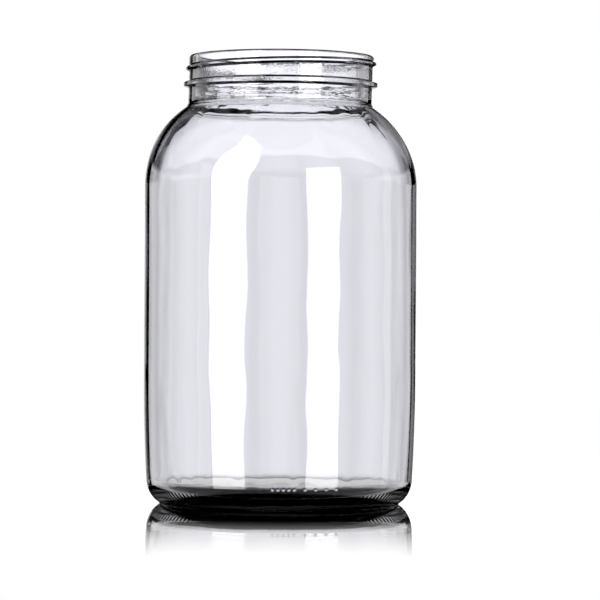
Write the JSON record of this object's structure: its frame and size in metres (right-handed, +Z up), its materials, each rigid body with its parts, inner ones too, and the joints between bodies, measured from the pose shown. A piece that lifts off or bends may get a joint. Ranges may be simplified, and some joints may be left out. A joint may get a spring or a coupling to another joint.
{
  "type": "glass storage jar",
  "caption": "Clear glass storage jar with a straight round side, rounded shoulder, wide open neck with screw thread and bead, rounded heel and hollow underside.",
  "frame": {"origin": "centre of the base, on the surface that the jar stands on", "axes": "+Z up along the jar's own axis, out of the mouth; the pictured front faces -Y; +X to the right of that view"},
  "size_m": [0.1562, 0.1562, 0.257],
  "materials": {
    "clear_glass": "fire-polished clear container glass, slightly wavy, with a faint cool grey where it is thick"
  },
  "bodies": {
    "root": {"glass_jar": "clear_glass"}
  },
  "joints": []
}
